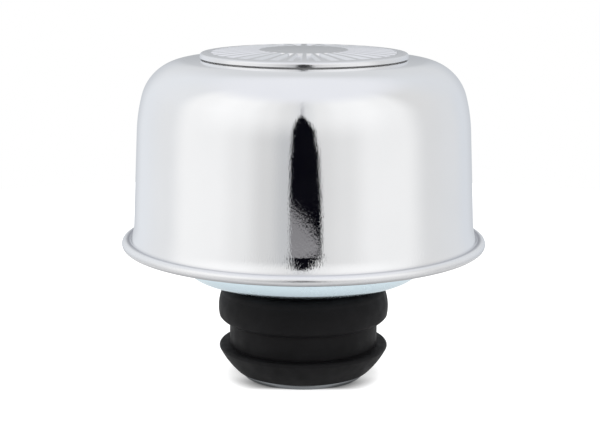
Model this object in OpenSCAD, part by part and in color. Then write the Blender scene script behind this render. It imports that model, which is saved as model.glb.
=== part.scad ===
// Push-in crankcase breather cap for an engine's valve cover.
// A drawn chrome shell hangs over a plated pan that holds the filter pack. Air enters through
// the ring-shaped gap between shell and pan, passes over the pan's rim and down through the pack.
// A rubber grommet on the neck snaps into the hole in the valve cover.
// All lengths are millimetres. The foot of the neck stands on z = 0 and the axis is +Z.

/* [Neck and grommet] */
// Diameter of the hole in the valve cover that the grommet's groove takes
cover_hole_d = 31.0; // [28:0.5:36]
// How far the groove's floor stands out beyond the hole's edge, so that the rubber is squeezed
groove_squeeze = 0.15; // [0:0.05:0.3]
// Rubber between the neck tube and the floor of the groove
grommet_wall = 3.95; // [3:0.05:5]
// Sheet thickness of the neck tube
neck_sheet = 1.1; // [0.8:0.1:1.4]
// How far the foot flange stands out beyond the neck tube
foot_flange = 1.3; // [0.8:0.1:2]
// Thickness of the foot flange
foot_t = 1.4; // [1:0.1:2]
// Chamfer at the mouth of the neck
mouth_chamfer = 0.5; // [0.2:0.1:0.8]
// Height of the grommet's push-in lip
lip_h = 5.6; // [4:0.1:7]
// How far the lip stands out beyond the groove floor
lip_out = 2.2; // [1.5:0.05:3]
// How far the lip's underside tapers in from its edge
lip_taper = 3.65; // [2.5:0.05:4.5]
// Rounding of the lip's edge
lip_round = 0.6; // [0.3:0.1:1]
// Bulge of the lip's tapered face
lip_bulge = 0.25; // [0.1:0.01:0.4]
// Height of the groove that grips the edge of the hole
groove_h = 5.0; // [2:0.1:6]
// Height of the grommet's upper body, from the groove to the pan
body_h = 9.9; // [8:0.1:18]
// Largest overhang of the upper body beyond the groove floor
body_out = 2.4; // [1.8:0.1:3.5]
// Height of the sloping underside of the upper body
body_slope_h = 1.2; // [0.8:0.1:3.5]
// Taper of the upper body's side from its foot to its shoulder
body_taper = 0.4; // [0.1:0.05:0.8]
// Bulge of the upper body's side
body_bulge = 0.35; // [0.1:0.05:0.6]
// Rounding between the upper body's side and its top
body_shoulder = 1.5; // [1:0.1:4]
// Height of the narrow collar between the upper body and the pan
collar_h = 2.2; // [1:0.1:3]
// How far the collar stands out beyond the neck tube
collar_w = 2.6; // [2:0.1:3.4]

/* [Pan] */
// Outer radius of the pan's lower corner
pan_corner_r = 3.6; // [3:0.1:6]
// Sheet thickness of the pan
pan_sheet = 0.8; // [0.6:0.1:1.2]
// How far the pan's rim stands above the upper screen
pan_freeboard = 2.6; // [1:0.2:5]
// Radius of the rolled bead on the pan's rim
pan_bead_r = 0.9; // [0.6:0.1:1.2]
// Radial clearance between the neck tube and the holes it passes
neck_fit = 0.1; // [0.05:0.05:0.2]
// Thickness of the ring under the neck's rolled edge
clamp_ring_t = 1.0; // [0.6:0.1:1.6]
// Radial width of that ring
clamp_ring_w = 3.6; // [3.2:0.1:4.6]
// How far the neck's rolled edge reaches over the ring
roll_w = 2.2; // [1.5:0.1:2.8]

/* [Shell] */
// Width of the air gap between the pan and the foot of the shell's wall
air_gap = 9.17; // [6:0.01:11]
// Sheet thickness of the shell
shell_sheet = 0.8; // [0.6:0.1:1.2]
// Height of the shell's lowest edge above the underside of the pan
shell_rise = 6.2; // [3:0.1:9]
// Inward lean of the shell's wall, in degrees
wall_lean = 2.6; // [1:0.1:5]
// Height of the straight part of the wall
wall_h = 19.3; // [14:0.1:30]
// Radius of the wall's upper part, where it starts to turn in
wall_curve_r = 34.2; // [28:0.2:45]
// Slope of the wall where the tight shoulder starts, in degrees
shoulder_start = 15; // [10:1:25]
// Radius of the shoulder
shoulder_r = 9.7; // [7:0.1:14]
// Radius of the shallow crown
crown_r = 283; // [150:1:500]
// Radius of the soft flare at the foot of the wall
rim_flare_r = 9; // [5:0.5:14]
// Slope at the end of the flare, in degrees
rim_flare_end = 24; // [12:1:30]
// Radius of the tight hollow fillet between the flare and the rim bead
rim_fillet_r = 0.3; // [0.2:0.1:0.8]
// Radius of the rolled rim bead
rim_bead_r = 1.0; // [0.9:0.05:1.4]
// Where the fillet meets the bead, in degrees round the bead
bead_meets_fillet = 54; // [40:1:65]

/* [Badge] */
// Radius of the plain medallion on the crown
badge_r = 21.5; // [14:0.5:23]
// Thickness of the medallion
badge_t = 0.9; // [0.8:0.05:2]
// Thickness of the adhesive pad under it, with its glue lines
badge_pad_t = 0.2; // [0.1:0.05:0.5]
// How far the adhesive pad stays in from the medallion's edge
badge_pad_inset = 0.4; // [0.1:0.1:2]
// Thickness of the glue line on each side of the pad
glue_t = 0.02; // [0.01:0.01:0.04]
// Radial width of the medallion's outer ring
badge_ring_w = 2.2; // [1:0.1:3]
// Radius of the smooth boss in the medallion's middle
badge_boss_r = 9.0; // [5:0.5:10]
// Depth of the medallion's sunk field
badge_sink = 0.45; // [0.2:0.05:0.6]
// Number of sunk flutes in the field
badge_flutes = 32; // [12:1:48]
// Angle that each rib between two flutes spans, in degrees
badge_rib_angle = 3.6; // [1.5:0.1:5]

/* [Filter pack] */
// Radial room between the clamp ring and the baffle's legs
baffle_gap = 0.8; // [0.4:0.1:1.5]
// Sheet thickness of the baffle, the screens and the brackets
plate_t = 0.8; // [0.6:0.1:1]
// Depth of the baffle's turned-down edge
baffle_skirt = 2.5; // [1.5:0.1:4]
// Radial length of the baffle's feet
baffle_foot = 4.6; // [4.4:0.1:7]
// Room between the baffle's feet and the pan's rounded corner
foot_room = 0.4; // [0.2:0.1:3]
// Angle that each leg of the baffle spans, in degrees
baffle_leg_angle = 26; // [18:1:40]
// Thickness of the knitted wire pad
wire_pad_t = 6.0; // [4:0.5:9]
// Thickness of the foam pad on top of it
foam_pad_t = 5.0; // [3:0.5:8]
// Radial clearance between the screens and the pan
screen_fit = 0.3; // [0.1:0.1:0.6]
// Depth of the screens' turned edges
screen_edge = 2.4; // [1.5:0.1:3]
// Radius of the screens' holes
screen_hole_r = 1.2; // [0.8:0.1:1.4]
// Number of rings of holes
screen_rings = 5; // [3:1:5]
// Radius of the first ring of holes
screen_first_r = 8.0; // [7:0.2:9]
// Bare width between the last ring of holes and the turned edge
screen_border = 0.6; // [0.4:0.1:2]
// Shank radius of the centre bolt
bolt_r = 2.5; // [2:0.25:3]
// Radial clearance around the bolt
bolt_fit = 0.1; // [0.05:0.05:0.2]
// Width of the bolt's head and nut across the flats
hex_af = 8.0; // [7:0.5:10]
// Height of the bolt's head
head_h = 3.4; // [2:0.1:4]
// Height of the nut
nut_h = 3.6; // [2:0.1:5]
// Radius of the flat washers
washer_r = 5.0; // [4.6:0.1:6]
// Thickness of the flat washers
washer_t = 1.0; // [0.6:0.1:1.4]
// Wall of the spacer sleeve inside the pads
sleeve_wall = 1.4; // [0.8:0.1:2]

/* [Brackets and rivets] */
// How far above the pan's rounded corner the brackets start
bracket_lift = 1.0; // [0:0.1:3]
// Height of the brackets' inner legs
bracket_inner_h = 7.0; // [6:0.2:9]
// Height of the brackets' outer legs
bracket_outer_h = 7.0; // [4:0.2:10]
// Room above and below the heads of the brackets' rivets
rivet_room = 0.3; // [0.2:0.1:1]
// Clearance at the spot welds between the brackets and the shell
weld_fit = 0.02; // [0.01:0.01:0.05]
// Angle that each bracket spans, in degrees
bracket_angle = 18; // [14:1:26]
// Shank radius of the rivets
rivet_r = 1.3; // [1:0.1:1.5]
// Radius of the rivets' heads
rivet_head_r = 2.2; // [1.8:0.1:2.2]
// Height of the rivets' heads
rivet_head_h = 0.8; // [0.5:0.1:1]
// Radial clearance between a rivet and its hole
rivet_fit = 0.05; // [0.02:0.01:0.1]

/* [Hidden] */
$fn = 96;

chrome = [0.88, 0.89, 0.90];
zinc = [0.66, 0.69, 0.71];
steel = [0.60, 0.61, 0.62];
rubber = [0.11, 0.11, 0.12];

// Cuts run this far past the faces that they open
over = 1;

bracket_turns = [90, 210, 330];
leg_turns = [90, 210, 330];

// The baffle's windows lie halfway between its legs
window_turns = [for (turn = leg_turns) turn + 60];

// Neck and grommet
groove_r = cover_hole_d / 2 + groove_squeeze;
neck_r = groove_r - grommet_wall;
neck_bore_r = neck_r - neck_sheet;
foot_r = neck_r + foot_flange;
lip_z = foot_t + lip_h;
lip_r = groove_r + lip_out;
groove_top = lip_z + groove_h;
body_r = groove_r + body_out;
collar_r = neck_r + collar_w;
pan_z = groove_top + body_h;
body_top = pan_z - collar_h;

// Pan, whose floor takes the clamp ring, the baffle's legs and feet, and its own corner
clamp_ring_r = neck_r + clamp_ring_w;
baffle_in_r = clamp_ring_r + baffle_gap;
baffle_r = baffle_in_r + plate_t;
baffle_foot_r = baffle_r + baffle_foot;
pan_r = baffle_foot_r + foot_room + pan_corner_r;
pan_in_r = pan_r - pan_sheet;
floor_z = pan_z + pan_sheet;
roll_z = floor_z + clamp_ring_t;
neck_top = roll_z + neck_sheet;

// Filter pack
bracket_z = pan_z + pan_corner_r + bracket_lift;
bracket_rivet_z = bracket_z + rivet_room + rivet_head_r;
screen_z = bracket_rivet_z + rivet_head_r + rivet_room;
crown_in_z = screen_z - plate_t;
screen_r = pan_in_r - screen_fit;
screen_last_r = screen_r - plate_t - screen_border - screen_hole_r;
screen_step = (screen_last_r - screen_first_r) / (screen_rings - 1);
pad_z = screen_z + plate_t;
pad_r = screen_r - plate_t - bolt_fit;
foam_z = pad_z + wire_pad_t;
pad_top = foam_z + foam_pad_t;
upper_screen_top = pad_top + plate_t;
pan_top = upper_screen_top + pan_freeboard;
sleeve_in_r = bolt_r + bolt_fit;
sleeve_r = sleeve_in_r + sleeve_wall;
nut_z = upper_screen_top + washer_t;
bolt_end = nut_z + nut_h + washer_t;

// Shell: centres of the arcs that follow one another without a kink
shell_z = pan_z + shell_rise;
flare_w = rim_flare_r * cos(wall_lean) - (rim_flare_r - rim_fillet_r) * cos(rim_flare_end);
fillet_x = pan_r + air_gap + shell_sheet + flare_w;
bead_c = [fillet_x + rim_bead_r * cos(bead_meets_fillet), shell_z + rim_bead_r];
fillet_z = bead_c.y + rim_bead_r * sin(bead_meets_fillet);
fillet_c = [fillet_x, fillet_z + rim_fillet_r];
flare_c = fillet_c + (rim_flare_r - rim_fillet_r) * [cos(rim_flare_end), sin(rim_flare_end)];
foot_pt = flare_c - rim_flare_r * [cos(wall_lean), sin(wall_lean)];
curve_pt = foot_pt + wall_h * [-tan(wall_lean), 1];
curve_c = curve_pt - wall_curve_r * [cos(wall_lean), sin(wall_lean)];
shoulder_c = curve_c + (wall_curve_r - shoulder_r) * [cos(shoulder_start), sin(shoulder_start)];
crown_drop = sqrt(pow(crown_r - shoulder_r, 2) - pow(shoulder_c.x, 2));
crown_c = [0, shoulder_c.y - crown_drop];
crown_start = atan2(crown_drop, shoulder_c.x);
crown_z = crown_c.y + crown_r;

// Brackets and rivets
web_z = bracket_z + bracket_inner_h - plate_t;
baffle_rivet_r = baffle_r + baffle_foot / 2;

// Points along an arc, from angle a to angle b
function arc(c, r, a, b, n) = [for (i = [0:n]) let (t = a + (b - a) * i / n) c + r * [cos(t), sin(t)]];

// Points along a shallow arc from p to q that bulges s to the right of the way there
function bow(p, q, s, n) =
    let (
        l = norm(q - p),
        r = (l * l / 4 + s * s) / (2 * s),
        u = (q - p) / l,
        v = [u.y, -u.x],
        c = (p + q) / 2 - (r - s) * v,
        half = asin(l / 2 / r)
    )
    [for (i = [0:n]) let (t = half * (2 * i / n - 1)) c + r * (sin(t) * u + cos(t) * v)];

// The shell's skin, from the rim fillet to the axis, set in by a distance
function skin(inset) = concat(
    arc(fillet_c, rim_fillet_r + inset, 270, 180 + rim_flare_end, 4),
    arc(flare_c, rim_flare_r + inset, 180 + rim_flare_end, 180 + wall_lean, 5),
    arc(curve_c, wall_curve_r - inset, wall_lean, shoulder_start, 5),
    arc(shoulder_c, shoulder_r - inset, shoulder_start, crown_start, 12),
    arc(crown_c, crown_r - inset, crown_start, 90, 6)
);

function reversed(list) = [for (i = [len(list) - 1:-1:0]) list[i]];

// Radius at which a bracket meets the shell's inner wall, at a height on its straight part
function weld_r(z) = foot_pt.x - (shell_sheet + weld_fit) / cos(wall_lean) - (z - foot_pt.y) * tan(wall_lean);

// Height of the crown's surface at a radius, raised by a distance
function crown_at(r, up) = crown_c.y + sqrt(pow(crown_r + up, 2) - r * r);

// A slice of the turned shape between two angles
module slice(turn, span) {
    rotate([0, 0, turn - span / 2])
        rotate_extrude(angle = span)
            children();
}

// A ring-shaped plate
module ring(r_in, r_out, z, t) {
    difference() {
        translate([0, 0, z])
            cylinder(r = r_out, h = t);
        translate([0, 0, z - over])
            cylinder(r = r_in, h = t + 2 * over);
    }
}

// A six-sided prism with a given width across its flats
module hexagon(z, h) {
    translate([0, 0, z])
        cylinder(r = hex_af / 2 / cos(30), h = h, $fn = 6);
}

// Drawn shell with its rolled rim bead
module outer_shell() {
    color(chrome)
        rotate_extrude()
            union() {
                polygon(concat(skin(0), reversed(skin(shell_sheet))));
                translate(bead_c)
                    circle(r = rim_bead_r);
            }
}

// A cap of the crown's own curve, from one height above it to another
module crown_layer(r, low, high) {
    rotate_extrude()
        polygon(concat(
            [for (i = [0:6]) let (x = r * i / 6) [x, crown_at(x, low)]],
            [for (i = [6:-1:0]) let (x = r * i / 6) [x, crown_at(x, high)]]
        ));
}

// Double-sided adhesive pad that holds the medallion
module badge_adhesive_pad() {
    color(rubber)
        crown_layer(badge_r - badge_pad_inset, glue_t, badge_pad_t - glue_t);
}

// Plain cast medallion: smooth boss and outer ring, with sunk flutes between them
module top_badge() {
    top = badge_pad_t + badge_t;
    field_r = badge_r - badge_ring_w;
    pitch = 360 / badge_flutes;
    color(chrome)
        difference() {
            crown_layer(badge_r, badge_pad_t, top);
            for (i = [0:badge_flutes - 1])
                slice((i + 0.5) * pitch, pitch - badge_rib_angle)
                    polygon([
                        [badge_boss_r, crown_at(badge_boss_r, top - badge_sink)],
                        [field_r, crown_at(field_r, top - badge_sink)],
                        [field_r, crown_at(field_r, top + over)],
                        [badge_boss_r, crown_at(badge_boss_r, top + over)]
                    ]);
        }
}

// Pressed pan with a rounded lower corner and a rolled rim
module base_pan() {
    corner = [pan_r - pan_corner_r, pan_z + pan_corner_r];
    color(zinc)
        difference() {
            rotate_extrude()
                union() {
                    polygon(concat(
                        [[neck_r + neck_fit, pan_z]],
                        arc(corner, pan_corner_r, 270, 360, 10),
                        [[pan_r, pan_top], [pan_in_r, pan_top]],
                        arc(corner, pan_corner_r - pan_sheet, 360, 270, 10),
                        [[neck_r + neck_fit, floor_z]]
                    ));
                    translate([pan_in_r + pan_bead_r, pan_top])
                        circle(r = pan_bead_r);
                }
            for (turn = leg_turns)
                rotate([0, 0, turn])
                    translate([baffle_rivet_r, 0, pan_z - over])
                        cylinder(r = rivet_r + rivet_fit, h = pan_sheet + 2 * over);
            for (turn = bracket_turns)
                rotate([0, 0, turn])
                    translate([pan_in_r - over, 0, bracket_rivet_z])
                        rotate([0, 90, 0])
                            cylinder(r = rivet_r + rivet_fit, h = pan_sheet + 2 * over);
        }
}

// Neck tube with a rounded foot flange, rolled over the clamp ring at its top
module neck_tube() {
    color(zinc)
        rotate_extrude()
            difference() {
                union() {
                    translate([neck_bore_r, 0])
                        square([neck_sheet, neck_top]);
                    translate([neck_bore_r, 0])
                        square([foot_r - foot_t / 2 - neck_bore_r, foot_t]);
                    translate([foot_r - foot_t / 2, foot_t / 2])
                        circle(r = foot_t / 2);
                    translate([neck_bore_r, roll_z])
                        square([roll_w + neck_sheet, neck_sheet]);
                }
                polygon([
                    [neck_bore_r - over, -over],
                    [neck_bore_r + mouth_chamfer + over, -over],
                    [neck_bore_r - over, mouth_chamfer + over]
                ]);
            }
}

// Ring that spreads the grip of the neck's rolled edge over the pan's floor
module neck_clamp_ring() {
    color(zinc)
        ring(neck_r + neck_fit, clamp_ring_r, floor_z, clamp_ring_t);
}

// Moulded grommet: tapered push-in lip, groove, upper body and collar
module neck_grommet() {
    lip_c = [lip_r - lip_round, lip_z - lip_round];
    blend_w = 0.1 * body_out;
    body_foot = [body_r - blend_w, groove_top + body_slope_h];
    shoulder_c = [body_foot.x - body_taper - body_shoulder, body_top - body_shoulder];
    color(rubber)
        rotate_extrude()
            polygon(concat(
                [[neck_r, foot_t]],
                bow([lip_r - lip_taper, foot_t], lip_c + lip_round * [cos(-28), sin(-28)], lip_bulge, 5),
                arc(lip_c, lip_round, -10, 90, 5),
                [[groove_r, lip_z], [groove_r, groove_top]],
                bow([groove_r + blend_w, groove_top], body_foot, lip_bulge, 4),
                bow(body_foot, shoulder_c + [body_shoulder, 0], body_bulge, 6),
                arc(shoulder_c, body_shoulder, 10, 90, 6),
                [[collar_r, body_top], [collar_r, pan_z], [neck_r, pan_z]]
            ));
}

// Pressed baffle over the neck: crown, turned-down edge, and three legs with riveted feet
module splash_baffle() {
    skirt_z = crown_in_z - baffle_skirt;
    color(steel)
        difference() {
            rotate_extrude()
                polygon([
                    [sleeve_in_r, crown_in_z],
                    [baffle_in_r, crown_in_z],
                    [baffle_in_r, floor_z],
                    [baffle_foot_r, floor_z],
                    [baffle_foot_r, floor_z + plate_t],
                    [baffle_r, floor_z + plate_t],
                    [baffle_r, screen_z],
                    [sleeve_in_r, screen_z]
                ]);
            for (turn = window_turns)
                slice(turn, 120 - baffle_leg_angle)
                    translate([baffle_in_r - over / 2, floor_z - over])
                        square([plate_t + baffle_foot + over, skirt_z - floor_z + over]);
            for (turn = leg_turns)
                rotate([0, 0, turn])
                    translate([baffle_rivet_r, 0, floor_z - over])
                        cylinder(r = rivet_r + rivet_fit, h = plate_t + 2 * over);
        }
}

// A rivet along +Z that clamps what lies between z = 0 and the grip
module rivet(grip) {
    cylinder(r = rivet_r, h = grip);
    for (flip = [0, 1])
        translate([0, 0, flip * grip])
            mirror([0, 0, 1 - flip])
                rotate_extrude()
                    polygon([
                        [0, 0],
                        [rivet_head_r, 0],
                        [rivet_head_r, rivet_head_h / 3],
                        [rivet_head_r * 0.6, rivet_head_h],
                        [0, rivet_head_h]
                    ]);
}

// Three rivets through the baffle's feet and the pan's floor
module baffle_rivets() {
    color(steel)
        for (turn = leg_turns)
            rotate([0, 0, turn])
                translate([baffle_rivet_r, 0, pan_z])
                    rivet(pan_sheet + plate_t);
}

// Perforated disc with a turned edge, lying with its plate at the bottom
module screen() {
    difference() {
        union() {
            ring(sleeve_in_r, screen_r, 0, plate_t);
            ring(screen_r - plate_t, screen_r, 0, plate_t + screen_edge);
        }
        for (row = [0:screen_rings - 1])
            let (holes = 6 * (row + 2))
                for (i = [0:holes - 1])
                    rotate([0, 0, i * 360 / holes])
                        translate([screen_first_r + row * screen_step, 0, -over])
                            cylinder(r = screen_hole_r, h = plate_t + 2 * over, $fn = 24);
    }
}

// Screen under the pads, with its edge turned up
module lower_screen() {
    color(steel)
        translate([0, 0, screen_z])
            screen();
}

// Screen over the pads, with its edge turned down
module upper_screen() {
    color(steel)
        translate([0, 0, upper_screen_top])
            mirror([0, 0, 1])
                screen();
}

// Coarse pad of knitted wire
module wire_mesh_pad() {
    color(steel)
        ring(sleeve_r + bolt_fit, pad_r, pad_z, wire_pad_t);
}

// Fine pad of open-cell foam
module foam_pad() {
    color([0.25, 0.25, 0.27])
        ring(sleeve_r + bolt_fit, pad_r, foam_z, foam_pad_t);
}

// Sleeve that keeps the nut from crushing the pads
module spacer_sleeve() {
    color(steel)
        ring(sleeve_in_r, sleeve_r, pad_z, pad_top - pad_z);
}

// Bolt that stands up from under the baffle's crown
module centre_bolt() {
    head_z = crown_in_z - washer_t - head_h;
    color(steel)
        union() {
            hexagon(head_z, head_h);
            translate([0, 0, head_z])
                cylinder(r = bolt_r, h = bolt_end - head_z);
        }
}

// Washer between the bolt's head and the baffle
module lower_washer() {
    color(zinc)
        ring(sleeve_in_r, washer_r, crown_in_z - washer_t, washer_t);
}

// Washer between the upper screen and the nut
module upper_washer() {
    color(zinc)
        ring(sleeve_in_r, washer_r, upper_screen_top, washer_t);
}

// Nut that clamps the pack
module centre_nut() {
    color(zinc)
        difference() {
            hexagon(nut_z, nut_h);
            translate([0, 0, nut_z - over])
                cylinder(r = bolt_r, h = nut_h + 2 * over);
        }
}

// Z-shaped strip from the pan's wall to the inside of the shell, where it is spot-welded
module bracket(turn) {
    web_top = web_z + plate_t;
    outer_top = web_z + bracket_outer_h;
    color(zinc)
        difference() {
            slice(turn, bracket_angle)
                polygon([
                    [pan_r, bracket_z],
                    [pan_r + plate_t, bracket_z],
                    [pan_r + plate_t, web_z],
                    [weld_r(web_z), web_z],
                    [weld_r(outer_top), outer_top],
                    [weld_r(outer_top) - plate_t, outer_top],
                    [weld_r(web_top) - plate_t, web_top],
                    [pan_r, web_top]
                ]);
            rotate([0, 0, turn])
                translate([pan_r - over, 0, bracket_rivet_z])
                    rotate([0, 90, 0])
                        cylinder(r = rivet_r + rivet_fit, h = plate_t + 2 * over);
        }
}

module bracket_rear() {
    bracket(bracket_turns[0]);
}

module bracket_left() {
    bracket(bracket_turns[1]);
}

module bracket_right() {
    bracket(bracket_turns[2]);
}

// Three rivets through the brackets' inner legs and the pan's wall, with heads that follow the wall
module bracket_rivets() {
    color(steel)
        for (turn = bracket_turns)
            rotate([0, 0, turn])
                union() {
                    translate([pan_in_r - rivet_head_h / 2, 0, bracket_rivet_z])
                        rotate([0, 90, 0])
                            cylinder(r = rivet_r, h = pan_sheet + plate_t + rivet_head_h);
                    difference() {
                        translate([pan_r, 0, bracket_rivet_z])
                            rotate([0, 90, 0])
                                cylinder(r = rivet_head_r, h = plate_t + rivet_head_h);
                        translate([0, 0, bracket_rivet_z - rivet_head_r - over])
                            cylinder(r = pan_r + plate_t, h = 2 * (rivet_head_r + over));
                    }
                    intersection() {
                        translate([pan_in_r - rivet_head_h, 0, bracket_rivet_z])
                            rotate([0, 90, 0])
                                cylinder(r = rivet_head_r, h = rivet_head_h);
                        translate([0, 0, bracket_rivet_z - rivet_head_r - over])
                            cylinder(r = pan_in_r, h = 2 * (rivet_head_r + over));
                    }
                }
}

outer_shell();
top_badge();
badge_adhesive_pad();
base_pan();
neck_tube();
neck_clamp_ring();
neck_grommet();
splash_baffle();
baffle_rivets();
lower_screen();
wire_mesh_pad();
foam_pad();
upper_screen();
spacer_sleeve();
centre_bolt();
lower_washer();
upper_washer();
centre_nut();
bracket_rear();
bracket_left();
bracket_right();
bracket_rivets();
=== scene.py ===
"""Dressed model of a push-in crankcase breather cap, standing on its foot on a pale table.

The turned pieces are lathed again with fine, smooth walls. Sizes are in millimetres and are
turned into metres when a mesh is made. The axis of the cap is Z and -Y faces the camera.
"""
import math

import bpy
import bmesh
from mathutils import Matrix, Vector


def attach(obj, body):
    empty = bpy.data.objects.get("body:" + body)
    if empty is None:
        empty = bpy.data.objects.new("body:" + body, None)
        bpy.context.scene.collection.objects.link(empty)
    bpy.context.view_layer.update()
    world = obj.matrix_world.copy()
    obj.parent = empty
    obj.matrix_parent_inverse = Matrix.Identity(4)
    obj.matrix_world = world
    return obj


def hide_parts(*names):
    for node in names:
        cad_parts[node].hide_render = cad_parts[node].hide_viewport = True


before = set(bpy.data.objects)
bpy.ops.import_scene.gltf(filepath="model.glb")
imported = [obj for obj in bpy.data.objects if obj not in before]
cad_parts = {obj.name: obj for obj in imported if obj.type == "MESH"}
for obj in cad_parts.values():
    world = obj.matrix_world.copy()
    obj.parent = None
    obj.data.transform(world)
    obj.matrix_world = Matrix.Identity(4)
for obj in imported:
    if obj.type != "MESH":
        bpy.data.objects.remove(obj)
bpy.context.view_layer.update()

MM = 0.001
TURN_STEPS = 288
SHARP_ANGLE = math.radians(28)

# Sizes of the shell, in millimetres
SHEET = 0.8
WALL_LEAN = math.radians(2.6)
WALL_H = 19.3
WALL_CURVE_R = 34.2
SHOULDER_START = math.radians(15)
SHOULDER_R = 9.7
CROWN_R = 283.0
RIM_FLARE_R = 9.0
RIM_FLARE_END = math.radians(24)
RIM_FILLET_R = 0.3
RIM_BEAD_R = 1.0
BEAD_C = (37.1, 29.1)
BEAD_MEETS_FILLET = math.radians(54)
# Where painted shade darkens the plating: a ring at the rim's crease, and the underside of the bead
CREASE_SHADE_AT = (36.75, 29.95)
CREASE_SHADE_W = 0.8
UNDER_BEAD_SHADE = (28.15, 29.7)
COARSE_RIM = (34.8, 32.4)
DULL_BEAD = (30.6, 29.9)

# Sizes of the badge
BADGE_R = 21.5
BADGE_LOW = 0.2
BADGE_TOP = 1.1
BADGE_RING_W = 2.2
BADGE_BOSS_R = 9.0
BADGE_SINK = 0.45
BADGE_FLUTES = 32
BADGE_RIB = math.radians(3.6)
BADGE_EDGE_R = 0.45

# Sizes of the pan, the neck and the grommet
PAN_R = 25.5
PAN_CORNER_R = 3.6
PAN_Z = 21.9
PAN_TOP = 46.7
PAN_BEAD_R = 0.9
NECK_R = 11.7
NECK_FIT = 0.1
NECK_BORE_R = 10.6
NECK_TOP = 24.8
NECK_ROLL = 2.2
NECK_SHEET = 1.1
FOOT_R = 13.0
FOOT_T = 1.4
MOUTH_CHAMFER = 0.5
GROOVE_R = 15.65
LIP_R = 17.85
LIP_Z = 7.0
LIP_TAPER = 3.65
LIP_ROUND = 0.6
LIP_BULGE = 0.25
GROOVE_TOP = 12.0
BODY_R = 18.05
BODY_OUT = 2.4
BODY_SLOPE_H = 1.2
BODY_TAPER = 0.4
BODY_BULGE = 0.35
BODY_SHOULDER = 1.5
BODY_TOP = 19.7
COLLAR_R = 14.3


def arc(c, r, a, b, n):
    """Points on an arc round c, from angle a to angle b."""
    steps = [a + (b - a) * i / n for i in range(n + 1)]
    return [(c[0] + r * math.cos(t), c[1] + r * math.sin(t)) for t in steps]


def bow(p, q, s, n):
    """Points on a shallow arc from p to q that bulges s to the right of the way there."""
    p = Vector(p)
    q = Vector(q)
    way = q - p
    r = (way.length ** 2 / 4 + s * s) / (2 * s)
    u = way.normalized()
    v = Vector((u.y, -u.x))
    c = (p + q) / 2 - (r - s) * v
    half = math.asin(way.length / 2 / r)
    points = [c + r * (math.sin(t) * u + math.cos(t) * v) for t in (half * (2 * i / n - 1) for i in range(n + 1))]
    return [(point.x, point.y) for point in points]


def polar(c, r, a):
    return (c[0] + r * math.cos(a), c[1] + r * math.sin(a))


def shell_centres():
    """Centres of the shell's arcs, which follow one another without a kink."""
    crease = polar(BEAD_C, RIM_BEAD_R, math.pi - BEAD_MEETS_FILLET)
    fillet = (crease[0], crease[1] + RIM_FILLET_R)
    flare = polar(fillet, RIM_FLARE_R - RIM_FILLET_R, RIM_FLARE_END)
    foot = polar(flare, -RIM_FLARE_R, WALL_LEAN)
    start = (foot[0] - WALL_H * math.tan(WALL_LEAN), foot[1] + WALL_H)
    curve = polar(start, -WALL_CURVE_R, WALL_LEAN)
    shoulder = polar(curve, WALL_CURVE_R - SHOULDER_R, SHOULDER_START)
    drop = math.sqrt((CROWN_R - SHOULDER_R) ** 2 - shoulder[0] ** 2)
    crown = (0.0, shoulder[1] - drop)
    return fillet, flare, curve, shoulder, crown, math.atan2(drop, shoulder[0])


FILLET_C, FLARE_C, CURVE_C, SHOULDER_C, CROWN_C, CROWN_START = shell_centres()


def crown_at(r, up):
    """Height of the crown's surface at a radius, raised by a distance."""
    return CROWN_C[1] + math.sqrt((CROWN_R + up) ** 2 - r * r)


def shell_skin(inset):
    """The shell's skin, from the rim fillet up to the axis."""
    fillet = arc(FILLET_C, RIM_FILLET_R + inset, math.radians(270), math.pi + RIM_FLARE_END, 8)
    flare = arc(FLARE_C, RIM_FLARE_R + inset, math.pi + RIM_FLARE_END, math.pi + WALL_LEAN, 16)
    curve = arc(CURVE_C, WALL_CURVE_R - inset, WALL_LEAN, SHOULDER_START, 12)
    low, high = Vector(flare[-1]), Vector(curve[0])
    wall = [tuple(low.lerp(high, i / 12)) for i in range(1, 12)]
    shoulder = arc(SHOULDER_C, SHOULDER_R - inset, SHOULDER_START, CROWN_START, 40)
    crown = arc(CROWN_C, CROWN_R - inset, CROWN_START, math.pi / 2, 24)
    return fillet + flare[1:] + wall + curve + shoulder[1:] + crown[1:]


def shell_profile():
    """Outside from the axis down to the rim, round the bead, and up the inside."""
    outside = shell_skin(0)[::-1]
    inside = shell_skin(SHEET)
    a = math.pi - BEAD_MEETS_FILLET
    b = math.pi + math.asin((BEAD_C[1] - inside[0][1]) / RIM_BEAD_R)
    bead = arc(BEAD_C, RIM_BEAD_R, a, b - 2 * math.pi, 40)
    under = [p for p in inside if p[0] < bead[-1][0] - 0.02]
    return outside + bead + under


def mesh_object(name, bm, smooth=True):
    """A Blender object from a bmesh in millimetres, with smooth walls and sharp corners."""
    bmesh.ops.scale(bm, vec=(MM, MM, MM), verts=bm.verts)
    bmesh.ops.recalc_face_normals(bm, faces=bm.faces)
    for face in bm.faces:
        face.smooth = smooth
    for edge in bm.edges:
        edge.smooth = edge.calc_face_angle(0.0) < SHARP_ANGLE
    mesh = bpy.data.meshes.new(name)
    bm.to_mesh(mesh)
    bm.free()
    piece = bpy.data.objects.new(name, mesh)
    bpy.context.scene.collection.objects.link(piece)
    return piece


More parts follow.
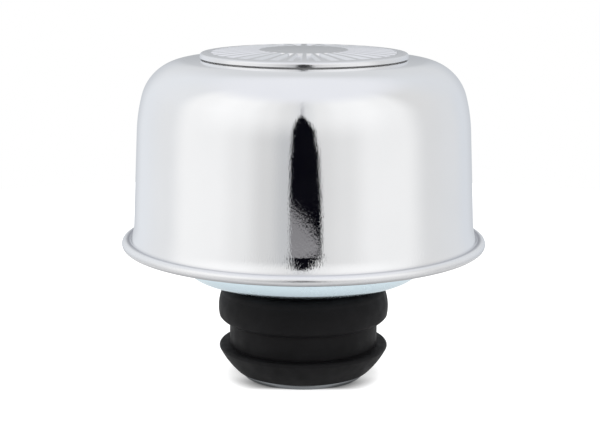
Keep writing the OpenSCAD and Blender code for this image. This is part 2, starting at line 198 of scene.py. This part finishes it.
def lathe(name, profile, steps=TURN_STEPS, closed=True):
    """Turns a profile of (radius, height) points round the axis."""
    bm = bmesh.new()
    rings = []
    for r, z in profile:
        if r < 1e-6:
            rings.append([bm.verts.new((0, 0, z))])
            continue
        angles = [2 * math.pi * i / steps for i in range(steps)]
        rings.append([bm.verts.new((r * math.cos(t), r * math.sin(t), z)) for t in angles])
    pairs = list(zip(rings, rings[1:]))
    if closed:
        pairs.append((rings[-1], rings[0]))
    for low, high in pairs:
        if len(low) == 1 and len(high) == 1:
            continue
        for i in range(steps):
            j = (i + 1) % steps
            ring = [low[i % len(low)], low[j % len(low)], high[j % len(high)], high[i % len(high)]]
            corners = [v for k, v in enumerate(ring) if v not in ring[:k]]
            bm.faces.new(corners)
    return mesh_object(name, bm)


def pan_profile():
    corner = (PAN_R - PAN_CORNER_R, PAN_Z + PAN_CORNER_R)
    inner = PAN_R - SHEET
    bead = (inner + PAN_BEAD_R, PAN_TOP)
    a = -math.asin(math.sqrt(PAN_BEAD_R ** 2 - (PAN_BEAD_R - SHEET) ** 2) / PAN_BEAD_R)
    rim = arc(bead, PAN_BEAD_R, math.atan2(math.sin(a), (SHEET - PAN_BEAD_R) / PAN_BEAD_R), math.pi, 24)
    return (
        [(NECK_R + NECK_FIT, PAN_Z + SHEET), (NECK_R + NECK_FIT, PAN_Z)]
        + arc(corner, PAN_CORNER_R, -math.pi / 2, 0, 24)
        + rim
        + arc(corner, PAN_CORNER_R - SHEET, 0, -math.pi / 2, 20)
    )


def neck_profile():
    edge = (FOOT_R - FOOT_T / 2, FOOT_T / 2)
    roll = (NECK_R + NECK_ROLL - 0.35, NECK_TOP - 0.35)
    return (
        [(NECK_BORE_R, MOUTH_CHAMFER), (NECK_BORE_R + MOUTH_CHAMFER, 0)]
        + arc(edge, FOOT_T / 2, -math.pi / 2, math.pi / 2, 20)
        + [(NECK_R, FOOT_T), (NECK_R, NECK_TOP - NECK_SHEET), (NECK_R + NECK_ROLL, NECK_TOP - NECK_SHEET)]
        + arc(roll, 0.35, 0, math.pi / 2, 6)
        + [(NECK_BORE_R, NECK_TOP)]
    )


def grommet_profile():
    lip = (LIP_R - LIP_ROUND, LIP_Z - LIP_ROUND)
    body_foot = (BODY_R - 0.1 * BODY_OUT, GROOVE_TOP + BODY_SLOPE_H)
    shoulder = (body_foot[0] - BODY_TAPER - BODY_SHOULDER, BODY_TOP - BODY_SHOULDER)
    return (
        [(NECK_R, FOOT_T)]
        + bow((LIP_R - LIP_TAPER, FOOT_T), polar(lip, LIP_ROUND, math.radians(-28)), LIP_BULGE, 20)
        + arc(lip, LIP_ROUND, math.radians(-24), math.pi / 2, 16)
        + [(GROOVE_R, LIP_Z), (GROOVE_R, GROOVE_TOP)]
        + bow((GROOVE_R + 0.1 * BODY_OUT, GROOVE_TOP), body_foot, LIP_BULGE, 12)
        + bow(body_foot, (shoulder[0] + BODY_SHOULDER, shoulder[1]), BODY_BULGE, 20)[1:]
        + arc(shoulder, BODY_SHOULDER, math.radians(5), math.pi / 2, 20)
        + [(COLLAR_R, BODY_TOP), (COLLAR_R, PAN_Z), (NECK_R, PAN_Z)]
    )


def badge():
    """Medallion with rounded edges: each flute has a sloping wall and a flat floor."""
    field_r = BADGE_R - BADGE_RING_W
    wall = 0.22
    radii = [0.0] + [BADGE_BOSS_R * i / 6 for i in range(1, 6)]
    radii += [BADGE_BOSS_R - wall * 0.2, BADGE_BOSS_R, BADGE_BOSS_R + wall, BADGE_BOSS_R + 1.4 * wall]
    radii += [BADGE_BOSS_R + 0.8 + (field_r - BADGE_BOSS_R - 1.6) * i / 6 for i in range(7)]
    radii += [field_r - 1.4 * wall, field_r - wall, field_r, field_r + wall * 0.2]
    radii += [field_r + (BADGE_R - BADGE_EDGE_R - field_r) * i / 2 for i in (1, 2)]
    edge = arc((BADGE_R - BADGE_EDGE_R, 0), BADGE_EDGE_R, math.pi / 2, 0, 6)[1:]
    per_flute = 14
    steps = BADGE_FLUTES * per_flute
    pitch = 2 * math.pi / BADGE_FLUTES

    def depth(r, t):
        """How deep the flute is at a place, from 0 to 1."""
        across = abs((t % pitch) - pitch / 2)
        room = (pitch - BADGE_RIB) / 2 - across
        side = min(max(room * r / wall, 0.0), 1.0)
        ends = min(max((r - BADGE_BOSS_R) / wall, 0.0), 1.0) * min(max((field_r - r) / wall, 0.0), 1.0)
        return min(side, ends)

    marks = [0.0, 0.04, 0.075, 0.11, 0.14, 0.17, 0.32, 0.5, 0.68, 0.83, 0.86, 0.89, 0.925, 0.96]
    angles = [pitch * (i // per_flute + marks[i % per_flute]) for i in range(steps)]
    bm = bmesh.new()
    rings = []
    for r in radii:
        if r == 0.0:
            rings.append([bm.verts.new((0, 0, crown_at(0, BADGE_TOP)))])
            continue
        ring = []
        for t in angles:
            z = crown_at(r, BADGE_TOP - BADGE_SINK * depth(r, t))
            ring.append(bm.verts.new((r * math.cos(t), r * math.sin(t), z)))
        rings.append(ring)
    rim_z = crown_at(BADGE_R - BADGE_EDGE_R, BADGE_TOP) - BADGE_EDGE_R
    for r, z in edge:
        rings.append([bm.verts.new((r * math.cos(t), r * math.sin(t), rim_z + z)) for t in angles])
    for r in (BADGE_R, BADGE_R / 2):
        z = crown_at(r, BADGE_LOW)
        rings.append([bm.verts.new((r * math.cos(t), r * math.sin(t), z)) for t in angles])
    rings.append([bm.verts.new((0, 0, crown_at(0, BADGE_LOW)))])
    for low, high in zip(rings, rings[1:]):
        for i in range(steps):
            j = (i + 1) % steps
            ring = [low[i % len(low)], low[j % len(low)], high[j % len(high)], high[i % len(high)]]
            bm.faces.new([v for k, v in enumerate(ring) if v not in ring[:k]])
    return mesh_object("badge_casting", bm)


def new_material(name):
    """A node material and its Principled shader."""
    material = bpy.data.materials.new(name)
    material.use_nodes = True
    return material, material.node_tree.nodes, material.node_tree.links, material.node_tree.nodes["Principled BSDF"]


def add(nodes, kind, **settings):
    node = nodes.new(kind)
    for key, value in settings.items():
        setattr(node, key, value)
    return node


def noise(nodes, links, scale, detail=3.0, rough=0.5, stretch=(1, 1, 1)):
    """Noise in the object's own metres, stretched along the axes."""
    place = add(nodes, "ShaderNodeTexCoord")
    mapping = add(nodes, "ShaderNodeMapping")
    mapping.inputs["Scale"].default_value = stretch
    texture = add(nodes, "ShaderNodeTexNoise")
    texture.inputs["Scale"].default_value = scale
    texture.inputs["Detail"].default_value = detail
    texture.inputs["Roughness"].default_value = rough
    links.new(place.outputs["Object"], mapping.inputs["Vector"])
    links.new(mapping.outputs["Vector"], texture.inputs["Vector"])
    return texture.outputs["Fac"]


def spread(nodes, links, value, low, high):
    """Maps a noise value to a range."""
    ramp = add(nodes, "ShaderNodeMapRange")
    ramp.inputs["From Min"].default_value = 0.3
    ramp.inputs["From Max"].default_value = 0.7
    ramp.inputs["To Min"].default_value = low
    ramp.inputs["To Max"].default_value = high
    links.new(value, ramp.inputs["Value"])
    return ramp.outputs["Result"]


def tint(nodes, links, value, low, high):
    """Mixes two colours by a value."""
    ramp = add(nodes, "ShaderNodeValToRGB")
    ramp.color_ramp.elements[0].position = 0.35
    ramp.color_ramp.elements[0].color = (*low, 1)
    ramp.color_ramp.elements[1].position = 0.65
    ramp.color_ramp.elements[1].color = (*high, 1)
    links.new(value, ramp.inputs["Fac"])
    return ramp.outputs["Color"]


def bump(nodes, links, shader, heights):
    """Chains bumps of (height value, depth in metres, strength) into the shader's normal."""
    last = None
    for value, depth, strength in heights:
        node = add(nodes, "ShaderNodeBump")
        node.inputs["Strength"].default_value = strength
        node.inputs["Distance"].default_value = depth
        links.new(value, node.inputs["Height"])
        if last:
            links.new(last.outputs["Normal"], node.inputs["Normal"])
        last = node
    links.new(last.outputs["Normal"], shader.inputs["Normal"])


def chrome_material(name, low, high, roughness, wave=1.0):
    """Bright plating over buffed steel: faint buffing waves make its reflections ragged."""
    material, nodes, links, shader = new_material(name)
    shader.inputs["Metallic"].default_value = 1.0
    cloud = tint(nodes, links, noise(nodes, links, 60, 3), low, high)
    # The base colour carries painted shade in the rim's crease and under the bead
    links.new(rim_painted_shade(nodes, links, cloud), shader.inputs["Base Color"])
    patches = spread(nodes, links, noise(nodes, links, 220, 4), *roughness)
    dull = add(nodes, "ShaderNodeMath", operation="ADD")
    links.new(patches, dull.inputs[0])
    links.new(by_height(nodes, links, DULL_BEAD, 0.0, 0.2), dull.inputs[1])
    links.new(dull.outputs["Value"], shader.inputs["Roughness"])
    coarse = add(nodes, "ShaderNodeMath", operation="MULTIPLY")
    links.new(noise(nodes, links, 3600, 2, 0.6, (1, 1, 0.4)), coarse.inputs[0])
    links.new(by_height(nodes, links, COARSE_RIM, 1.0, 3.0), coarse.inputs[1])
    fine = coarse.outputs["Value"]
    broad = noise(nodes, links, 90, 2)
    bump(nodes, links, shader, [(broad, 0.000008 * wave, 1.0), (fine, 0.0000065 * wave, 1.0)])
    return material


def by_height(nodes, links, heights, high_value, low_value):
    """Goes from one value above the first height to another below the second."""
    place = add(nodes, "ShaderNodeTexCoord")
    split = add(nodes, "ShaderNodeSeparateXYZ")
    links.new(place.outputs["Object"], split.inputs["Vector"])
    change = add(nodes, "ShaderNodeMapRange", interpolation_type="SMOOTHSTEP")
    change.inputs["From Min"].default_value = heights[1] * MM
    change.inputs["From Max"].default_value = heights[0] * MM
    change.inputs["To Min"].default_value = low_value
    change.inputs["To Max"].default_value = high_value
    links.new(split.outputs["Z"], change.inputs["Value"])
    return change.outputs["Result"]


def rim_painted_shade(nodes, links, colour):
    """Darkens a colour with painted shade: in the rim's crease and under its bead, where shade falls."""
    place = add(nodes, "ShaderNodeTexCoord")
    split = add(nodes, "ShaderNodeSeparateXYZ")
    links.new(place.outputs["Object"], split.inputs["Vector"])
    square = []
    for axis in "XY":
        node = add(nodes, "ShaderNodeMath", operation="POWER")
        node.inputs[1].default_value = 2
        links.new(split.outputs[axis], node.inputs[0])
        square.append(node)
    total = add(nodes, "ShaderNodeMath", operation="ADD")
    links.new(square[0].outputs["Value"], total.inputs[0])
    links.new(square[1].outputs["Value"], total.inputs[1])
    radius = add(nodes, "ShaderNodeMath", operation="SQRT")
    links.new(total.outputs["Value"], radius.inputs[0])
    radial = near(nodes, links, radius.outputs["Value"], CREASE_SHADE_AT[0] * MM, CREASE_SHADE_W * MM)
    upright = near(nodes, links, split.outputs["Z"], CREASE_SHADE_AT[1] * MM, CREASE_SHADE_W * MM)
    both = add(nodes, "ShaderNodeMath", operation="MULTIPLY")
    links.new(radial, both.inputs[0])
    links.new(upright, both.inputs[1])
    mix = add(nodes, "ShaderNodeMix", data_type="RGBA")
    links.new(both.outputs["Value"], mix.inputs["Factor"])
    links.new(colour, mix.inputs[6])
    # Painted shade: grey-blue plating in the rim's crease
    mix.inputs[7].default_value = (0.36, 0.37, 0.42, 1)
    under = add(nodes, "ShaderNodeMapRange", interpolation_type="SMOOTHSTEP")
    under.inputs["From Min"].default_value = UNDER_BEAD_SHADE[0] * MM
    under.inputs["From Max"].default_value = UNDER_BEAD_SHADE[1] * MM
    links.new(split.outputs["Z"], under.inputs["Value"])
    # Painted shade: darker plating on the underside of the rim's bead
    bead = add(nodes, "ShaderNodeMix", data_type="RGBA")
    links.new(under.outputs["Result"], bead.inputs["Factor"])
    bead.inputs[6].default_value = (0.38, 0.38, 0.395, 1)
    links.new(mix.outputs[2], bead.inputs[7])
    return bead.outputs[2]


def near(nodes, links, value, centre, reach):
    """Falls from 1 at a centre to 0 at a distance from it."""
    away = add(nodes, "ShaderNodeMath", operation="SUBTRACT")
    away.inputs[1].default_value = centre
    links.new(value, away.inputs[0])
    size = add(nodes, "ShaderNodeMath", operation="ABSOLUTE")
    links.new(away.outputs["Value"], size.inputs[0])
    fall = add(nodes, "ShaderNodeMapRange", interpolation_type="SMOOTHSTEP")
    fall.inputs["From Min"].default_value = 0.0
    fall.inputs["From Max"].default_value = reach
    fall.inputs["To Min"].default_value = 1.0
    fall.inputs["To Max"].default_value = 0.0
    links.new(size.outputs["Value"], fall.inputs["Value"])
    return fall.outputs["Result"]


def zinc_material(name, low, high, roughness=(0.2, 0.3)):
    """Bright zinc plate with faint clouds and a fine grain."""
    material, nodes, links, shader = new_material(name)
    shader.inputs["Metallic"].default_value = 1.0
    links.new(tint(nodes, links, noise(nodes, links, 90, 4), low, high), shader.inputs["Base Color"])
    links.new(spread(nodes, links, noise(nodes, links, 300, 4), *roughness), shader.inputs["Roughness"])
    bump(nodes, links, shader, [(noise(nodes, links, 2600, 3), 0.000001, 1.0)])
    return material


def steel_material(name, low, high):
    """Plain rolled steel with a directional grain."""
    material, nodes, links, shader = new_material(name)
    shader.inputs["Metallic"].default_value = 1.0
    grain = noise(nodes, links, 500, 4, 0.6, (1, 8, 1))
    links.new(tint(nodes, links, grain, low, high), shader.inputs["Base Color"])
    links.new(spread(nodes, links, grain, 0.28, 0.42), shader.inputs["Roughness"])
    bump(nodes, links, shader, [(grain, 0.00002, 0.4)])
    return material


def rubber_material(name, low, high, roughness, gloss):
    """Moulded rubber: matt, with a fine grain and slightly dusty patches."""
    material, nodes, links, shader = new_material(name)
    shader.inputs["Specular IOR Level"].default_value = gloss
    links.new(tint(nodes, links, noise(nodes, links, 140, 6), low, high), shader.inputs["Base Color"])
    links.new(spread(nodes, links, noise(nodes, links, 400, 4), *roughness), shader.inputs["Roughness"])
    grain = noise(nodes, links, 2600, 3)
    flow = noise(nodes, links, 160, 3, 0.5, (1, 1, 4))
    bump(nodes, links, shader, [(flow, 0.00008, 0.4), (grain, 0.00003, 0.5)])
    return material


def cell_material(name, low, high, cell, metallic):
    """Wire mesh or foam: bright cell walls, with painted shade darkening the hollows inside the cells."""
    material, nodes, links, shader = new_material(name)
    shader.inputs["Metallic"].default_value = metallic
    shader.inputs["Roughness"].default_value = 0.6
    place = add(nodes, "ShaderNodeTexCoord")
    texture = add(nodes, "ShaderNodeTexVoronoi", feature="DISTANCE_TO_EDGE")
    texture.inputs["Scale"].default_value = 1 / cell
    links.new(place.outputs["Object"], texture.inputs["Vector"])
    # Painted shade: the colour goes from the bright wall colour at the cell edges to the dark colour inside the
    # cells
    ramp = add(nodes, "ShaderNodeValToRGB")
    ramp.color_ramp.elements[0].position = 0.06
    ramp.color_ramp.elements[0].color = (*high, 1)
    ramp.color_ramp.elements[1].position = 0.22
    ramp.color_ramp.elements[1].color = (*low, 1)
    links.new(texture.outputs["Distance"], ramp.inputs["Fac"])
    links.new(ramp.outputs["Color"], shader.inputs["Base Color"])
    bump(nodes, links, shader, [(texture.outputs["Distance"], -0.0006, 1.0)])
    return material


def glow(name, colour, strength=1.0):
    """A card that shines by itself, for what the plating reflects."""
    material = bpy.data.materials.new(name)
    material.use_nodes = True
    nodes = material.node_tree.nodes
    nodes.clear()
    shader = add(nodes, "ShaderNodeEmission")
    shader.inputs["Color"].default_value = (*colour, 1)
    shader.inputs["Strength"].default_value = strength
    out = add(nodes, "ShaderNodeOutputMaterial")
    material.node_tree.links.new(shader.outputs["Emission"], out.inputs["Surface"])
    return material


def dress():
    """Puts every piece of the cap in place with its finish."""
    chrome = chrome_material("chrome_plate", (0.915, 0.92, 0.93), (0.935, 0.94, 0.95), (0.03, 0.05))
    badge_chrome = chrome_material("chrome_casting", (0.84, 0.845, 0.86), (0.90, 0.905, 0.92), (0.12, 0.18), 0.7)
    zinc = zinc_material("zinc_plate", (0.655, 0.77, 0.83), (0.675, 0.79, 0.85))
    # A darker copy of the zinc plate: its darker colour is painted shade, as the foot stands in its contact shadow
    # and reflects it; its higher roughness is a duller finish
    neck = zinc_material("dull_zinc_painted_shade", (0.25, 0.265, 0.28), (0.31, 0.325, 0.34), (0.3, 0.4))
    steel = steel_material("plain_steel", (0.50, 0.51, 0.52), (0.60, 0.61, 0.62))
    rubber = rubber_material("grommet_rubber", (0.0075, 0.0073, 0.0080), (0.0105, 0.0102, 0.0112), (0.5, 0.66), 0.13)
    tape = rubber_material("adhesive_tape", (0.42, 0.42, 0.42), (0.5, 0.5, 0.5), (0.6, 0.8), 0.2)
    wire = cell_material("knitted_wire", (0.10, 0.10, 0.10), (0.62, 0.63, 0.64), 0.0011, 0.9)
    foam = cell_material("open_foam", (0.008, 0.008, 0.01), (0.06, 0.06, 0.07), 0.0007, 0.0)

    turned = [
        ("shell_turned", shell_profile(), "outer_shell", chrome, "shell_chrome"),
        ("pan_turned", pan_profile(), "base_pan", zinc, "zinc_plate"),
        ("neck_turned", neck_profile(), "neck_tube", neck, "zinc_plate"),
        ("grommet_turned", grommet_profile(), "neck_grommet", rubber, "grommet_rubber"),
    ]
    for name, profile, node, material, finish in turned:
        piece = lathe(name, profile)
        piece.data.materials.append(material)
        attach(piece, "root")
        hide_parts(node)

    casting = badge()
    casting.data.materials.append(badge_chrome)
    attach(casting, "root")
    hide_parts("top_badge")

    kept = {
        "badge_adhesive_pad": tape, "neck_clamp_ring": zinc, "splash_baffle": steel, "baffle_rivets": steel,
        "lower_screen": steel, "upper_screen": steel, "wire_mesh_pad": wire, "foam_pad": foam,
        "spacer_sleeve": steel, "centre_bolt": steel, "lower_washer": zinc, "upper_washer": zinc,
        "centre_nut": zinc, "bracket_rear": zinc, "bracket_left": zinc, "bracket_right": zinc,
        "bracket_rivets": steel,
    }
    for node, material in kept.items():
        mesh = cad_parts[node].data
        if not mesh.materials:
            mesh.materials.append(material)
        for i in range(len(mesh.materials)):
            mesh.materials[i] = material


# How far from the foot its contact shadow reaches on the table, and where it ends in front
CONTACT_REACH = 3.3
CONTACT_FRONT = (-13.2, -10.8)
CONTACT_BACK = (-8.6, -2.0)

# How far in front of the cap the cards of the studio stand
CARD_Y = -495


def card(name, points, material):
    """A flat card that only the plating sees."""
    mesh = bpy.data.meshes.new(name)
    mesh.from_pydata([tuple(p) for p in points], [], [list(range(len(points)))])
    mesh.materials.append(material)
    item = bpy.data.objects.new(name, mesh)
    bpy.context.scene.collection.objects.link(item)
    item.visible_camera = False
    item.visible_diffuse = False
    item.visible_shadow = False
    item.visible_transmission = False
    return item


def world_light():
    """A white tent: even for the matt pieces, with soft bands for the plating."""
    world = bpy.data.worlds.new("tent")
    bpy.context.scene.world = world
    world.use_nodes = True
    nodes = world.node_tree.nodes
    links = world.node_tree.links
    nodes.clear()
    place = add(nodes, "ShaderNodeTexCoord")
    split = add(nodes, "ShaderNodeSeparateXYZ")
    links.new(place.outputs["Generated"], split.inputs["Vector"])
    back = add(nodes, "ShaderNodeMath", operation="MULTIPLY")
    back.inputs[1].default_value = -1
    links.new(split.outputs["Y"], back.inputs[0])
    turn = add(nodes, "ShaderNodeMath", operation="ARCTAN2")
    links.new(split.outputs["X"], turn.inputs[0])
    links.new(back.outputs["Value"], turn.inputs[1])
    share = add(nodes, "ShaderNodeMapRange")
    share.inputs["From Min"].default_value = -math.pi
    share.inputs["From Max"].default_value = math.pi
    links.new(turn.outputs["Value"], share.inputs["Value"])

    def band(stops):
        """Brightness round the tent, from (azimuth in degrees, colour) stops."""
        ramp = add(nodes, "ShaderNodeValToRGB")
        ramp.color_ramp.interpolation = "EASE"
        elements = ramp.color_ramp.elements
        for i, (az, colour) in enumerate(stops):
            element = elements[i] if i < 2 else elements.new(1.0)
            element.position = az / 360 + 0.5
            element.color = (*colour, 1)
        links.new(share.outputs["Result"], ramp.inputs["Fac"])
        return ramp.outputs["Color"]

    def grey(v, blue=0.0):
        return (v, v + 0.4 * blue, v + blue)

    low = band([
        (-180, grey(0.42, 0.03)), (-168, grey(0.62, 0.06)), (-140, grey(0.80, 0.06)), (-104, grey(0.81, 0.02)),
        (-84, grey(0.95)), (-60, grey(0.94)), (-42, grey(0.86)), (-25, grey(0.70)), (-12, grey(0.56, 0.02)),
        (10, grey(0.72)), (27, grey(0.80)), (46, grey(0.92)), (70, grey(0.92)), (92, grey(0.74, 0.01)),
        (118, grey(0.74, 0.03)), (140, grey(0.71, 0.07)), (168, grey(0.60, 0.06)), (180, grey(0.42, 0.03)),
    ])
    high = band([
        (-180, grey(0.70, 0.03)), (-140, grey(0.81, 0.05)), (-104, grey(0.82, 0.03)), (-84, grey(0.98)),
        (-60, grey(1.03)), (-42, grey(1.0)), (-25, grey(0.90)), (-12, grey(0.80)), (0, grey(0.74, 0.02)),
        (12, grey(0.88)), (28, grey(0.97)), (46, grey(1.01)), (68, grey(0.95)), (90, grey(0.75)),
        (140, grey(0.74, 0.05)), (180, grey(0.70, 0.03)),
    ])

    def blend(value, start, end, a, b):
        factor = add(nodes, "ShaderNodeMapRange", interpolation_type="SMOOTHSTEP")
        factor.inputs["From Min"].default_value = start
        factor.inputs["From Max"].default_value = end
        links.new(value, factor.inputs["Value"])
        mix = add(nodes, "ShaderNodeMix", data_type="RGBA")
        links.new(factor.outputs["Result"], mix.inputs["Factor"])
        links.new(a, mix.inputs[6])
        if isinstance(b, tuple):
            mix.inputs[7].default_value = (*b, 1)
        else:
            links.new(b, mix.inputs[7])
        return mix.outputs[2]

    up = split.outputs["Z"]
    tent = blend(up, 0.05, 0.38, low, high)
    tent = blend(up, 0.66, 0.93, tent, (0.86, 0.87, 0.91))

    path = add(nodes, "ShaderNodeLightPath")
    glossy = add(nodes, "ShaderNodeBackground")
    links.new(tent, glossy.inputs["Color"])
    white = add(nodes, "ShaderNodeBackground")
    white.inputs["Color"].default_value = (1, 1, 1, 1)
    choose = add(nodes, "ShaderNodeMixShader")
    links.new(path.outputs["Is Glossy Ray"], choose.inputs["Fac"])
    links.new(white.outputs["Background"], choose.inputs[1])
    links.new(glossy.outputs["Background"], choose.inputs[2])
    out = add(nodes, "ShaderNodeOutputWorld")
    links.new(choose.outputs["Shader"], out.inputs["Surface"])


def floor_material():
    """White table that keeps the cap's tight contact shadow, and fades from the plating's view."""
    material = bpy.data.materials.new("white_table")
    material.use_nodes = True
    nodes = material.node_tree.nodes
    links = material.node_tree.links
    nodes.clear()

    contact = add(nodes, "ShaderNodeAmbientOcclusion", samples=32)
    contact.inputs["Distance"].default_value = CONTACT_REACH * MM
    shade = add(nodes, "ShaderNodeMapRange")
    shade.inputs["From Min"].default_value = 0.1
    shade.inputs["From Max"].default_value = 0.95
    shade.inputs["To Min"].default_value = 0.98
    shade.inputs["To Max"].default_value = 0.0
    links.new(contact.outputs["AO"], shade.inputs["Value"])
    place = add(nodes, "ShaderNodeTexCoord")
    split = add(nodes, "ShaderNodeSeparateXYZ")
    links.new(place.outputs["Object"], split.inputs["Vector"])
    front = add(nodes, "ShaderNodeMapRange", interpolation_type="SMOOTHSTEP")
    front.inputs["From Min"].default_value = CONTACT_FRONT[0] * MM
    front.inputs["From Max"].default_value = CONTACT_FRONT[1] * MM
    links.new(split.outputs["Y"], front.inputs["Value"])
    back = add(nodes, "ShaderNodeMapRange", interpolation_type="SMOOTHSTEP")
    back.inputs["From Min"].default_value = CONTACT_BACK[0] * MM
    back.inputs["From Max"].default_value = CONTACT_BACK[1] * MM
    back.inputs["To Min"].default_value = 1.0
    back.inputs["To Max"].default_value = 0.45
    links.new(split.outputs["Y"], back.inputs["Value"])
    reach = add(nodes, "ShaderNodeMath", operation="MULTIPLY")
    links.new(front.outputs["Result"], reach.inputs[0])
    links.new(back.outputs["Result"], reach.inputs[1])
    dark = add(nodes, "ShaderNodeMath", operation="MULTIPLY")
    links.new(shade.outputs["Result"], dark.inputs[0])
    links.new(reach.outputs["Value"], dark.inputs[1])
    bright = add(nodes, "ShaderNodeMath", operation="SUBTRACT")
    bright.inputs[0].default_value = 1.0
    links.new(dark.outputs["Value"], bright.inputs[1])

    path = add(nodes, "ShaderNodeLightPath")
    lift = add(nodes, "ShaderNodeMath", operation="MULTIPLY")
    lift.inputs[1].default_value = 0.9
    links.new(path.outputs["Is Camera Ray"], lift.inputs[0])
    shine = add(nodes, "ShaderNodeMath", operation="MULTIPLY_ADD")
    shine.inputs[1].default_value = 0.5
    links.new(path.outputs["Is Glossy Ray"], shine.inputs[0])
    links.new(lift.outputs["Value"], shine.inputs[2])
    strength = add(nodes, "ShaderNodeMath", operation="MULTIPLY")
    links.new(shine.outputs["Value"], strength.inputs[0])
    links.new(bright.outputs["Value"], strength.inputs[1])
    shader = add(nodes, "ShaderNodeEmission")
    links.new(strength.outputs["Value"], shader.inputs["Strength"])
    matt = add(nodes, "ShaderNodeBsdfDiffuse")
    matt.inputs["Color"].default_value = (0.55, 0.55, 0.55, 1)
    both = add(nodes, "ShaderNodeAddShader")
    links.new(matt.outputs["BSDF"], both.inputs[0])
    links.new(shader.outputs["Emission"], both.inputs[1])

    length = add(nodes, "ShaderNodeVectorMath", operation="LENGTH")
    links.new(place.outputs["Object"], length.inputs[0])
    fade = add(nodes, "ShaderNodeMapRange", interpolation_type="SMOOTHSTEP")
    fade.inputs["From Min"].default_value = 0.06
    fade.inputs["From Max"].default_value = 0.14
    links.new(length.outputs["Value"], fade.inputs["Value"])
    unseen = add(nodes, "ShaderNodeMath", operation="MULTIPLY")
    links.new(fade.outputs["Result"], unseen.inputs[0])
    links.new(path.outputs["Is Glossy Ray"], unseen.inputs[1])
    clear = add(nodes, "ShaderNodeBsdfTransparent")
    choose = add(nodes, "ShaderNodeMixShader")
    links.new(unseen.outputs["Value"], choose.inputs["Fac"])
    links.new(both.outputs["Shader"], choose.inputs[1])
    links.new(clear.outputs["BSDF"], choose.inputs[2])
    out = add(nodes, "ShaderNodeOutputMaterial")
    links.new(choose.outputs["Shader"], out.inputs["Surface"])
    return material


def studio():
    """Floor, tent and the dark gap in the tent through which the picture is taken."""
    world_light()
    bpy.ops.mesh.primitive_circle_add(vertices=96, radius=0.24, fill_type="NGON", location=(0, 0, 0))
    floor = bpy.context.object
    floor.name = "table"
    floor.data.materials.append(floor_material())

    black = glow("dark_gap", (0.002, 0.002, 0.004))
    seam = glow("tent_seam", (0.40, 0.40, 0.43))
    dim = glow("dim_table", (0.245, 0.24, 0.25))
    pale = glow("pale_table", (0.31, 0.305, 0.315))
    gap = [
        (-17, 260), (-31, 234), (-49, 209), (-65, 160), (-71, 47), (-76, 11), (-79, -5), (-21, -9), (33, -14),
        (80, -21), (90, -32), (98, -33), (96, -2), (87, 11), (77, 47), (60, 160), (28, 209), (3, 234),
    ]
    table = [(-79, -5), (-21, -9), (33, -14), (80, -21), (85, -27), (-76, -27)]
    near_table = [(-76, -27), (85, -27), (90, -32), (98, -33), (100, -37), (-74, -37)]
    slit = [(-26, 240), (-17, 260), (-6, 240), (-5, 300), (-11, 760), (-19, 300)]
    cards = [
        ("tent_gap", gap, black), ("tent_slit", slit, seam),
        ("table_far", table, dim), ("table_near", near_table, pale),
    ]
    for name, outline, material in cards:
        card(name, [Vector((x, CARD_Y, z)) * MM for x, z in outline], material)


def camera():
    """The photograph's own view: slightly above the rim, with the cap turned a little clockwise."""
    data = bpy.data.cameras.new("view")
    data.lens = 91.6
    data.sensor_width = 36
    data.clip_start = 0.01
    item = bpy.data.objects.new("view", data)
    item.location = (-0.00077, -0.315, 0.0973)
    item.rotation_euler = (math.radians(78.87), 0, 0)
    item.rotation_euler.rotate_axis("Z", math.radians(0.15))
    bpy.context.scene.collection.objects.link(item)
    bpy.context.scene.camera = item


camera()
dress()
studio()
bpy.context.scene.view_settings.view_transform = "Standard"
